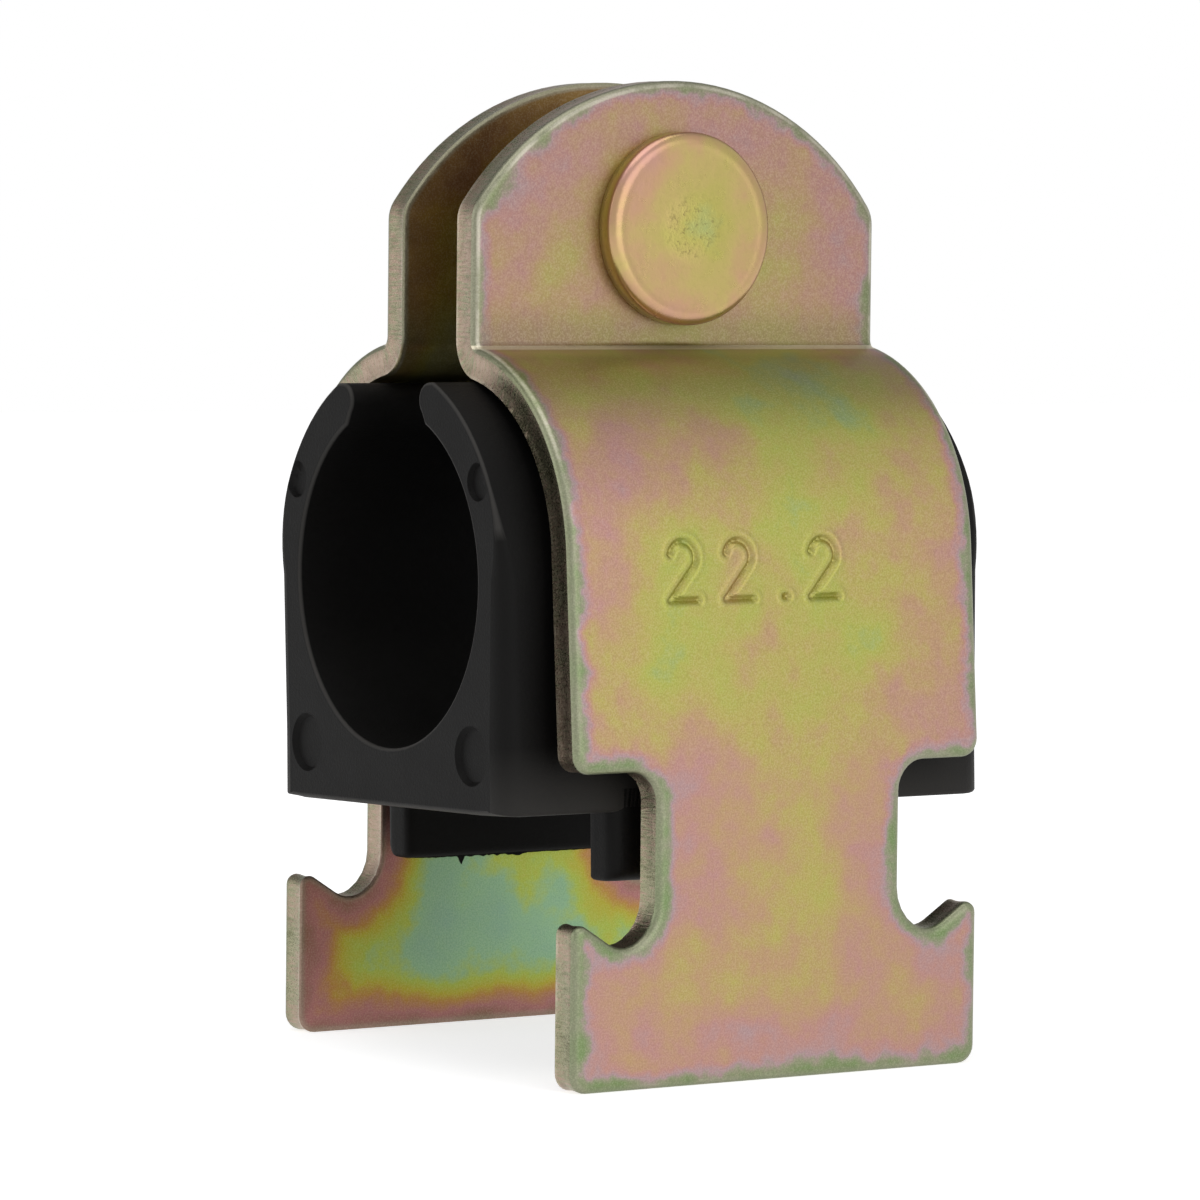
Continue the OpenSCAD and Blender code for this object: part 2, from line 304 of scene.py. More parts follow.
def strap_outline():
    """Outline of the flattened strap, anticlockwise, from the foot's lower left corner."""
    hook_y, hook_z = NECK_HALF + HOOK_RADIUS, HOOK_BOTTOM + HOOK_RADIUS
    tip_y, tip_z = STRAP_HALF - HORN_TIP, HORN_TOP - HORN_TIP
    slope = math.degrees(HORN_SLOPE)
    # fillet between the horn's slope and the round hook: centre at these distances from the
    # hook's centre, square to the slope and along it
    lift = (tip_y - hook_y) * math.sin(HORN_SLOPE) + (hook_z - tip_z) * math.cos(HORN_SLOPE) - HORN_TIP
    down = lift - HOOK_FILLET
    back = math.sqrt((HOOK_RADIUS - HOOK_FILLET) ** 2 - down ** 2)
    fillet_y = hook_y + down * math.sin(HORN_SLOPE) - back * math.cos(HORN_SLOPE)
    fillet_z = hook_z - down * math.cos(HORN_SLOPE) - back * math.sin(HORN_SLOPE)
    meet = math.degrees(math.atan2(fillet_z - hook_z, fillet_y - hook_y))
    arch_z = STRAP_HEIGHT - TAB_TOP_RADIUS
    corner_y = STRAP_HALF - TAB_CORNER
    corner_z = arch_z + math.sqrt((TAB_TOP_RADIUS - TAB_CORNER) ** 2 - corner_y ** 2)
    tilt = math.degrees(math.atan2(corner_z - arch_z, corner_y))
    right = arc(STRAP_HALF - CORNER, CORNER, CORNER, -90, 0, 15)
    right += arc(tip_y, tip_z, HORN_TIP, 0, 90 + slope, 15)
    right += arc(fillet_y, fillet_z, HOOK_FILLET, slope - 90, meet, 12)
    right += arc(hook_y, hook_z, HOOK_RADIUS, meet, -180, 12)[1:]
    right += arc(NECK_HALF + NECK_FILLET, BODY_BOTTOM - NECK_FILLET, NECK_FILLET, 180, 90, 12)
    right += arc(STRAP_HALF - CORNER, BODY_BOTTOM + CORNER, CORNER, -90, 0, 15)
    top = [(y, tab_run(z)) for y, z in arc(corner_y, corner_z, TAB_CORNER, 0, tilt, 8)]
    top += [(y, tab_run(z)) for y, z in arc(0, arch_z, TAB_TOP_RADIUS, tilt, 90, 3)[1:]]
    half = right + top
    mirrored = [(-y, s) for y, s in reversed(half[:-1])]
    return cross_levels(resample(half + mirrored, OUTLINE_GAP), RUN[1:-1])


# Strokes of the plain size figures pressed into the near strap, in their own units
FIGURES = {
    "2": [arc(0.5, 1.02, 0.38, 165, -35, 14) + [(0.12, 0.0), (0.92, 0.0)]],
    ".": [[(0.22, 0.03), (0.30, 0.03)]],
}


def figure_strokes(text, y0, s0, height, advance):
    """Polylines of the pressed figures on the flattened strap."""
    strokes, y = [], y0
    for mark in text:
        scale = height / 1.4
        for line in FIGURES[mark]:
            strokes.append([(y + px * scale, s0 + py * scale) for px, py in line])
        y += advance if mark != "." else advance * 0.55
    return strokes


def roll_depth(d):
    """How far the outside face falls away at a distance d from the sheared edge."""
    k = np.clip(1 - d / ROLL_WIDE, 0, 1)
    return ROLL_DEEP * (1 - np.sqrt(np.clip(1 - k ** 2.2, 0, 1)))


def face_points(low, high):
    """Loose points and cross rows of a strap's faces, finer in the box of the figures."""
    reach = STRAP_HALF + 0.5
    wide = np.arange(-reach, reach, FACE_GAP)
    fine = np.arange(low[0], high[0], FIGURE_GAP)
    points = [(y, s) for y in fine for s in np.arange(low[1], high[1], FIGURE_GAP)]
    points += [(y, s) for y in wide for s in np.arange(FACE_GAP / 2, RUN[-1], FACE_GAP)
               if not (low[0] <= y <= high[0] and low[1] <= s <= high[1])]
    rows = []
    for level in RUN[1:-1]:
        beside = [y for y in wide if not low[0] <= y <= high[0]]
        step = FIGURE_GAP if low[1] <= level <= high[1] else FACE_GAP
        between = np.arange(low[0], high[0], step)
        rows.append([(y, level) for y in sorted([*beside, *between])])
    return points, rows


def pressed_depth(flat, strokes):
    """Depth of the pressed figures at each point, with a faint raised lip beside each stroke."""
    near = np.full(len(flat), 1e9)
    for line in strokes:
        near = np.minimum(near, distance_to_loop(flat, line, closed=False))
    k = np.clip(1 - near / FIGURE_WIDE, 0, 1)
    lip = 0.03 * np.exp(-((near - 0.5) / 0.15) ** 2)
    return FIGURE_DEEP * k * k * (3 - 2 * k) - lip


def cut_rows(loop, outer):
    """Points of the cut face under an edge loop, row by row, with the depth of each row."""
    inward = loop_normals(loop) * (1 if outer else -1)
    first = roll_depth(np.zeros(1))[0] if outer else 0.0
    return [(depth, on_sheet(np.array(loop) + inward * tear, np.full(len(loop), depth)))
            for depth, tear in ((first, 0.0), *CUT_ROWS)]


def strap_mesh(name, side, hole_radius, strokes):
    """One strap half with rounded-over edges, a torn cut face and pressed figures."""
    outline = strap_outline()
    inward = loop_normals(outline)
    hole = arc(0, tab_run(BOLT_HEIGHT), hole_radius, 0, 352, 8) if hole_radius else None
    holes = [hole] if hole else []
    rings = [[tuple(p) for p in np.array(outline) + inward * inset] for inset in RIM_RINGS]
    low, high = np.zeros(2), np.zeros(2)
    if strokes:
        drawn = np.concatenate([np.array(line) for line in strokes])
        low, high = drawn.min(0) - FIGURE_MARGIN, drawn.max(0) + FIGURE_MARGIN
    flat, faces = triangulate(outline, holes, rings, *face_points(low, high))
    rim = distance_to_loop(flat, outline)
    if hole:
        rim = np.minimum(rim, distance_to_loop(flat, hole) + HOLE_RIM)
    press = pressed_depth(flat, strokes) if strokes else 0.0
    count = len(flat)
    verts = [*on_sheet(flat, roll_depth(rim) + press),
             *on_sheet(flat, PLATE - np.clip(1 - rim / BURR_BREAK, 0, 1) * BURR_DEEP)]
    faces = faces + flipped([tuple(i + count for i in f) for f in faces])
    rims = [*rim, *rim]
    cuts, alongs = [0.0] * (2 * count), [0.0] * (2 * count)
    acrosses = [*np.zeros(count), *np.full(count, PLATE)]
    for loop in [outline, *holes]:
        size = len(loop)
        steps = np.linalg.norm(np.diff(np.array(loop + loop[:1]), axis=0), axis=1)
        length = np.concatenate([[0], np.cumsum(steps)])[:-1]
        ids = [int(np.argmin(np.hypot(*(flat - p).T))) for p in np.array(loop)]
        wall = [ids]
        for depth, row in cut_rows(loop, loop is outline):
            wall.append(list(range(len(verts), len(verts) + size)))
            verts.extend(row)
            rims += [0.0] * size
            cuts += [1.0] * size
            alongs += list(length)
            acrosses += [depth] * size
        wall.append([i + count for i in ids])
        quads = quads_between(wall)
        faces += flipped(quads) if loop is outline else quads
    verts = np.array(verts)
    if side < 0:
        verts[:, 0] *= -1
        faces = flipped(faces)
    return make_object(name, verts, faces, [("rim", rims), ("cut", cuts), ("along", alongs),
                                            ("across", acrosses)], 50)


# Cushion

def cushion_section():
    """Outline of the cushion about its bore, with each point's end rounding in x and z."""
    nose_r = 1.15
    nose_x, nose_z = SLOT_HALF + nose_r, LIP_TOP - nose_r
    flat_angle = math.degrees(math.asin(LIP_TOP / CUSHION_RADIUS))
    mouth = math.degrees(math.acos((SLOT_HALF + 0.75) / BORE_RADIUS))
    side_round, corner_r, base_edge = 1.5, 0.3, 0.35
    right = [(p, 0.25, 0.25) for p in arc(0, 0, BORE_RADIUS, -90, mouth, 4)]
    right += [(p, 0.25, 0.25) for p in arc(nose_x, nose_z, nose_r, 225, 90, 15)]
    for p in reversed(arc(0, 0, CUSHION_RADIUS, 0, flat_angle, 3.5)):
        soft = 0.22 + (side_round - 0.5) * max(0.0, 1 - p[1] / 6.0) ** 1.5
        right.append((p, soft, soft))
    right += [((CUSHION_RADIUS, z), side_round - 0.28 + 0.03 * -z, 0.0) for z in (-3.5, -7, -10.5)]
    for i, p in enumerate(arc(CUSHION_RADIUS - corner_r, -BASE_DROP + corner_r, corner_r, 0, -90, 18)):
        right.append((p, side_round, base_edge * i / 5))
    right += [((x, -BASE_DROP), 0.0, base_edge) for x in (11, 8, 5, 2.5)]
    mirrored = [((-p[0], p[1]), rx, rz) for p, rx, rz in reversed(right[1:])]
    # anticlockwise about the solid: bore first, then lips, outside and base
    return (right + [((0.0, -BASE_DROP), 0.0, base_edge)] + mirrored)[::-1]


def place_cushion(points):
    """Points from the cushion's own axes to the clamp, with its small turn."""
    c, s = math.cos(CUSHION_TURN), math.sin(CUSHION_TURN)
    x, y, z = points[:, 0], points[:, 1], points[:, 2]
    return np.stack([x * c - z * s, y, x * s + z * c + BORE_HEIGHT], 1)


# Dimples of each end on one side: place from the bore's centre, radius
DIMPLES = [(11.3, 6.35, 1.25), (10.25, -11.15, 1.95)]
DIMPLE_DEEP = 0.35


def cushion_mesh():
    """The moulded cushion with rounded ends, soft lips and dimples."""
    section = cushion_section()
    loop = [p for p, _, _ in section]
    edge = np.array(loop)
    way = loop_normals(loop)
    base = edge[:, 1] < -BASE_DROP + 0.32
    way[base] = np.stack([-np.sign(edge[base, 0]), np.ones(base.sum())], 1)
    end = way * np.array([(rx, rz) for _, rx, rz in section])
    radius = np.array([max(rx, rz) for _, rx, rz in section])
    # painted highlight along the crisp edges and the long base edges, strongest midway round each rounding
    crisp = np.where(radius < 0.5, 1.0, 0.0)
    long_edge = np.where(base & (np.abs(edge[:, 0]) > 13.2), 0.6, 0.0)
    steps, spans, size = 5, 14, len(loop)
    verts, worn, rings = [], [], []

    def add_ring(share, y, shine):
        start = len(verts)
        p = edge + end * share
        verts.extend(np.stack([p[:, 0], y, p[:, 1]], 1))
        worn.extend(np.maximum(crisp * shine, long_edge))
        rings.append(list(range(start, start + size)))

    quarter = [math.pi / 2 * k / steps for k in range(steps)]
    for a in quarter:
        add_ring(1 - math.sin(a), -CUSHION_HALF + radius * (1 - math.cos(a)), math.sin(2 * a))
    for k in range(spans + 1):
        add_ring(0.0, (2 * k / spans - 1) * (CUSHION_HALF - radius), 0.0)
    for a in reversed(quarter):
        add_ring(1 - math.sin(a), CUSHION_HALF - radius * (1 - math.cos(a)), math.sin(2 * a))
    faces = flipped(quads_between(rings))
    # end faces with their dimples, which have steep walls and fade out at the border
    spots = [(side * x, z, r) for x, z, r in DIMPLES for side in (-1, 1)]
    loops = [arc(x, z, r * k, 0, 348, 12) for x, z, r in spots for k in (1.0, 0.93, 0.86, 0.4)]
    for sign, ring in ((-1, rings[0]), (1, rings[-1])):
        border = [(verts[i][0], verts[i][2]) for i in ring]
        flat, tris = triangulate(border, [], loops, [])
        to_border = distance_to_loop(flat, border)
        depth = np.zeros(len(flat))
        for x, z, r in spots:
            d = np.hypot(flat[:, 0] - x, flat[:, 1] - z)
            depth = np.maximum(depth, DIMPLE_DEEP * np.clip((r - d) / (0.12 * r), 0, 1))
        depth *= np.clip(to_border / 0.2, 0, 1)
        start = len(verts)
        verts.extend(np.stack([flat[:, 0], sign * (CUSHION_HALF - depth), flat[:, 1]], 1))
        worn.extend(np.zeros(len(flat)))
        tris = [tuple(start + i for i in t) for t in tris]
        faces += tris if sign < 0 else flipped(tris)
    return place_cushion(np.array(verts)), faces, worn


def on_side(verts, faces, side):
    """A piece of the +x side, moved to the clamp and mirrored for the other side."""
    verts = np.array(verts) * (side, 1, 1)
    return place_cushion(verts), faces if side > 0 else flipped(faces)


def leg_mesh(side):
    """One leg under the base, its outer lower edge well rounded."""
    out_r, in_r = 0.9, 0.35
    x0, x1 = CUSHION_RADIUS - LEG_THICK, CUSHION_RADIUS
    loop = arc(x0 + in_r, -LEG_HALF + in_r, in_r, 180, 270, 30)
    loop += arc(x1 - out_r, -LEG_HALF + out_r, out_r, 270, 360, 18)
    loop += arc(x1 - out_r, LEG_HALF - out_r, out_r, 0, 90, 18)
    loop += arc(x0 + in_r, LEG_HALF - in_r, in_r, 90, 180, 30)
    edge = np.array(resample(loop, 0.5))
    size = len(edge)
    outer = np.clip((edge[:, 0] - x0) / LEG_THICK, 0, 1)
    low = -BASE_DROP - LEG_DEPTH
    verts = []
    rises = (LEG_DEPTH + 1.5, 1.0, 0.75, 0.5, 0.3, 0.15, 0.05, 0.0)

    def pulled_in(rise, r):
        k = max(0.0, 1 - rise / r)
        return r * (1 - math.sqrt(1 - k * k))

    for rise in rises:
        x = edge[:, 0] - outer * pulled_in(rise, 1.0) + (1 - outer) * pulled_in(rise, 0.3)
        y = edge[:, 1] * (1 - pulled_in(rise, 0.3) / LEG_HALF)
        verts.extend(np.stack([x, y, np.full(size, low + rise)], 1))
    rings = [[k * size + i for i in range(size)] for k in range(len(rises))]
    faces = flipped([*quads_between(rings), rings[-1]]) + [tuple(rings[0])]
    return on_side(verts, faces, side)


def flash_mesh(side):
    """Thin torn flash that hangs from the inner lower edge of one leg."""
    rng = np.random.default_rng(40 + side)
    count = 160
    y = np.linspace(-LEG_HALF + 0.4, LEG_HALF - 0.4, count)
    rough = np.abs(np.convolve(rng.normal(0, 1, count), [0.2, 0.3, 0.3, 0.2], "same"))
    torn = np.exp(-((y + 3.6) / 3.0) ** 2)
    drop = 0.05 + (0.03 + 0.11 * torn) * rough
    for centre, width, deep in ((-6.16, 0.17, 0.5), (-1.5, 0.35, 0.12), (6.6, 0.3, 0.1)):
        drop += deep * np.exp(-((y - centre) / width) ** 2)
    drop *= np.clip((LEG_HALF - 0.4 - np.abs(y)) / 1.5, 0, 1)
    x0 = CUSHION_RADIUS - LEG_THICK + 0.35
    low = -BASE_DROP - LEG_DEPTH
    sway = 0.05 * np.convolve(rng.normal(0, 1, count), np.ones(7) / 7, "same")
    verts = []
    for z, x in ((np.full(count, low + 0.5), np.full(count, x0 - 0.02)),
                 (low - drop, x0 - 0.05 + sway), (low - drop, x0 + 0.03 + sway),
                 (np.full(count, low + 0.5), np.full(count, x0 + 0.12))):
        verts.extend(np.stack([x, y, z], 1))
    rows = [[k * count + i for i in range(count)] for k in range(4)]
    faces = quads_between(rows + rows[:1], closed=False)
    faces += [tuple(row[0] for row in rows), tuple(row[-1] for row in reversed(rows))]
    return on_side(verts, faces, side)


def whole_cushion():
    """Cushion body, two legs and their flash as one moulding."""
    verts, faces, worn = cushion_mesh()
    verts, worn = list(verts), list(worn)
    for side in (-1, 1):
        for part in (leg_mesh(side), flash_mesh(side)):
            start = len(verts)
            verts.extend(part[0])
            worn.extend([0.0] * len(part[0]))
            faces += [tuple(start + i for i in f) for f in part[1]]
    return make_object("moulded_cushion", verts, faces, [("worn", worn)], 42)


# Bolt, nut and ring, turned about the bolt axis

def turned(name, stations, radius_at, around=72, sharp=35, close=True):
    """A surface round the bolt axis: radius_at(station, angle), each station starting with x."""
    verts = []
    for station in stations:
        for k in range(around):
            a = 2 * math.pi * k / around
            r = radius_at(station, a)
            verts.append((station[0], r * math.cos(a), BOLT_HEIGHT + r * math.sin(a)))
    rings = [[i * around + k for k in range(around)] for i in range(len(stations))]
    faces = quads_between(rings)
    if close:
        faces += [tuple(reversed(rings[0])), tuple(rings[-1])]
    return make_object(name, verts, faces, (), sharp)


def bolt_shank():
    """Threaded shank with a chamfered end."""
    major = BOLT_DIA / 2
    minor = major - 0.61 * THREAD_PITCH
    start = TAB_OUTER - BOLT_LENGTH
    step = THREAD_PITCH / 10
    stations = [(x,) for x in np.arange(start, TAB_HALF_GAP + 0.4, step)]

    def radius(station, a):
        x = station[0]
        k = ((x - start) / THREAD_PITCH - a / (2 * math.pi)) % 1
        rise = 1 - abs(2 * k - 1)
        r = minor + (major - minor) * min(1.0, max(0.0, (rise - 0.06) / 0.80))
        return min(r, minor - 0.1 + x - start)

    return turned("bolt_thread", stations, radius, 60, 40)


def bolt_head():
    """Flat round head with a soft rim and a faintly dished, rough face."""
    half, thick = HEAD_DIA / 2, HEAD_THICK
    profile = [(0.0, half - 0.12), (0.12, half)]
    profile += [(thick - 0.55 + 0.55 * math.sin(math.radians(a)),
                 half - 0.85 * (1 - math.cos(math.radians(a)))) for a in range(0, 91, 10)]
    profile += [(thick - 0.015, half * k) for k in (0.84, 0.8, 0.7, 0.55, 0.4, 0.25, 0.12, 0.04)]
    points = [(TAB_OUTER + x, r) for x, r in profile]
    return turned("bolt_head", points, lambda p, a: p[1], 96, 45)


def square_neck():
    """Square neck under the head that stops the bolt from turning."""
    rounding = 0.5
    flat = BOLT_DIA / 2 - rounding
    verts, corner = [], []
    for y, z, turn in ((flat, flat, 0), (-flat, flat, 90), (-flat, -flat, 180), (flat, -flat, 270)):
        corner += arc(y, z, rounding, turn, turn + 90, 22)
    corner = resample(corner, 1.2)
    rows = [(TAB_HALF_GAP + 0.12, 0.86), (TAB_HALF_GAP + 0.35, 1.0), (TAB_OUTER + 0.1, 1.0)]
    for x, k in rows:
        verts += [(x, y * k, BOLT_HEIGHT + z * k) for y, z in corner]
    size = len(corner)
    rings = [[i * size + k for k in range(size)] for i in range(len(rows))]
    faces = quads_between(rings) + [tuple(reversed(rings[0])), tuple(rings[-1])]
    return make_object("bolt_square_neck", verts, faces, (), 40)


def lock_nut():
    """Hex nut with chamfered corners, washer-like face and round collar.

    Each step of the profile is the way from the nut's face, a radius and whether it stays round
    or is cut by the hexagon.
    """
    apothem, face = NUT_FLATS / 2, -TAB_OUTER
    collar = COLLAR_RADIUS
    bore = BOLT_DIA / 2 + 0.05

    def hexagon(a):
        k = (a + math.pi / 6) % (math.pi / 3) - math.pi / 6
        return apothem / math.cos(k)

    profile = [(0.0, bore, 1), (0.0, apothem - 0.3, 1), (0.02, apothem - 0.1, 1)]
    profile += [(t, apothem - 0.05 + t * 1.75, 0) for t in (0.1, 0.2, 0.35, 0.5)]
    wide = NUT_FLATS
    profile += [(0.8, wide, 0), (2.4, wide, 0), (NUT_HEX - 0.9, wide, 0)]
    profile += [(NUT_HEX - t, apothem - 0.05 + t * 1.75, 0) for t in (0.6, 0.45, 0.3, 0.15, 0.05)]
    profile += [(NUT_HEX, apothem - 0.25, 1), (NUT_HEX + 0.02, collar + 0.12, 1),
                (NUT_HEX + 0.2, collar, 1), (NUT_HEIGHT - 0.85, collar, 1)]
    profile += [(NUT_HEIGHT - 0.85 + 0.85 * math.sin(math.radians(a)),
                 collar - 0.95 * (1 - math.cos(math.radians(a))), 1) for a in (20, 40, 60, 80, 90)]
    profile += [(NUT_HEIGHT - 0.12, collar - 1.15, 1), (NUT_HEIGHT - 0.6, collar - 1.2, 1),
                (NUT_HEIGHT - 0.7, bore + 0.6, 1), (NUT_HEIGHT - 2.3, bore + 0.4, 1),
                (NUT_HEIGHT - 2.3, bore, 1), (0.0, bore, 1)]

    def radius(p, a):
        return p[1] if p[2] else min(p[1], hexagon(a))

    points = [(face - t, r, kind) for t, r, kind in profile]
    obj = turned("hex_lock_nut", points, radius, 72, 32, close=False)
    obj.data.flip_normals()
    return obj


def nylon_ring():
    """Nylon ring in the nut's collar, swollen a little over the thread."""
    collar = COLLAR_RADIUS
    face = -TAB_OUTER - NUT_HEIGHT
    bore = BOLT_DIA / 2 + 0.03
    profile = [(face + 0.75, collar - 1.15), (face + 0.50, collar - 1.3), (face + 0.42, bore + 0.45),
               (face + 0.50, bore + 0.12), (face + 0.75, bore), (face + 1.9, bore),
               (face + 1.9, collar - 1.15), (face + 0.75, collar - 1.15)]
    obj = turned("nylon_insert", profile, lambda p, a: p[1], 72, 40, close=False)
    obj.data.flip_normals()
    return obj


# Shader maths

class Wire:
    """One socket of a material's node tree, with the arithmetic written as operators."""

    def __init__(self, tree, socket):
        self.tree, self.socket = tree, socket

    def node(self, kind, settings, *values, out=0, **named):
        """A new node with its settings, then the values or links of its sockets."""
        made = self.tree.nodes.new(kind)
        for key, value in settings.items():
            if key == "stops":
                set_stops(made.color_ramp, value)
            else:
                setattr(made, key, value)
        for key, value in [*enumerate(values), *named.items()]:
            plug = made.inputs[key if isinstance(key, int) else key.replace("_", " ")]
            if isinstance(value, Wire):
                self.tree.links.new(value.socket, plug)
            elif value is not None:
                plug.default_value = value
        return Wire(self.tree, made.outputs[out])

    def _math(self, operation, *values):
        return self.node("ShaderNodeMath", {"operation": operation}, *values)

    def __add__(self, other):
        return self._math("ADD", self, other)

    def __radd__(self, other):
        return self._math("ADD", other, self)

    def __sub__(self, other):
        return self._math("SUBTRACT", self, other)

    def __rsub__(self, other):
        return self._math("SUBTRACT", other, self)

    def __mul__(self, other):
        return self._math("MULTIPLY", self, other)

    def __rmul__(self, other):
        return self._math("MULTIPLY", other, self)

    def __truediv__(self, other):
        return self._math("DIVIDE", self, other)

    def clamp(self, low=0.0, high=1.0):
        return self.node("ShaderNodeClamp", {}, self, low, high)

    def soft(self, low, high):
        """0 below low, 1 above high, smooth between."""
        return self.node("ShaderNodeMapRange", {"interpolation_type": "SMOOTHSTEP"},
                         self, low, high, 0.0, 1.0)

    def mix(self, a, b):
        """Colour a where this is 0, colour b where it is 1."""
        unused = [None] * 5
        return self.node("ShaderNodeMix", {"data_type": "RGBA"}, self, *unused, a, b, out=2)

    def ramp(self, *stops):
        """Colour of this value on a ramp of (place, colour) stops."""
        return self.node("ShaderNodeValToRGB", {"stops": stops}, self)


def set_stops(band, stops):
    while len(band.elements) < len(stops):
        band.elements.new(0.5)
    for element, (place, colour) in zip(band.elements, stops):
        element.position = place
        element.color = colour


def srgb(r, g, b):
    """Linear colour of an 8 bit display colour."""
    def one(c):
        c /= 255
        return c / 12.92 if c <= 0.04045 else ((c + 0.055) / 1.055) ** 2.4
    return (one(r), one(g), one(b), 1.0)


def new_material(name):
    """An empty node material: its tree's first wire, the shader and a place wire in metres."""
    material = bpy.data.materials.new(name)
    material.use_nodes = True
    tree = material.node_tree
    shader = tree.nodes["Principled BSDF"]
    root = Wire(tree, shader.outputs[0])
    place = root.node("ShaderNodeTexCoord", {}, out=3)
    return material, root, shader, place


def join(wire, shader, name):
    wire.tree.links.new(wire.socket, shader.inputs[name])


def noise(root, place, scale, detail=3.0, rough=0.5, offset=(0, 0, 0), stretch=(1, 1, 1)):
    """Soft cloud noise, about 0 to 1, of a given number of clouds a metre."""
    moved = root.node("ShaderNodeMapping", {}, place, offset, (0, 0, 0), stretch)
    return root.node("ShaderNodeTexNoise", {}, Vector=moved, Scale=scale, Detail=detail, Roughness=rough)


def attribute(root, name):
    return root.node("ShaderNodeAttribute", {"attribute_name": name}, out=2)


# Colours of the chromate film from its thin edges to its thick middle: outside faces, inside faces. The
# inside colours are deeper and more saturated: partly the film's own colour, partly painted light bounced
# between the gold straps
FILM_BRIGHT = [(0.00, srgb(120, 142, 94)), (0.09, srgb(146, 146, 122)), (0.17, srgb(172, 144, 148)),
               (0.32, srgb(184, 138, 130)), (0.46, srgb(184, 150, 112)), (0.60, srgb(180, 166, 94)),
               (0.74, srgb(172, 174, 84)), (0.87, srgb(152, 172, 112)), (1.00, srgb(148, 166, 142))]
FILM_DEEP = [(0.00, srgb(146, 108, 92)), (0.10, srgb(178, 120, 118)), (0.24, srgb(188, 140, 74)),
             (0.40, srgb(188, 178, 62)), (0.58, srgb(176, 194, 84)), (0.72, srgb(150, 192, 150)),
             (1.00, srgb(144, 184, 162))]


# Heights in millimetres of the straps' bands of colour, of the painted highlight at the crease and of the
# painted shade bands
CREASE_HEIGHT = 47.0
BODY_RISE = (16, 27)
TAB_RISE = (46.5, 47.4)
TAB_FOOT_SHADE_RISE = (47.6, 50.5)
CUSHION_LOW_RISE = (19, 23)
CUSHION_HIGH_RISE = (41, 45)


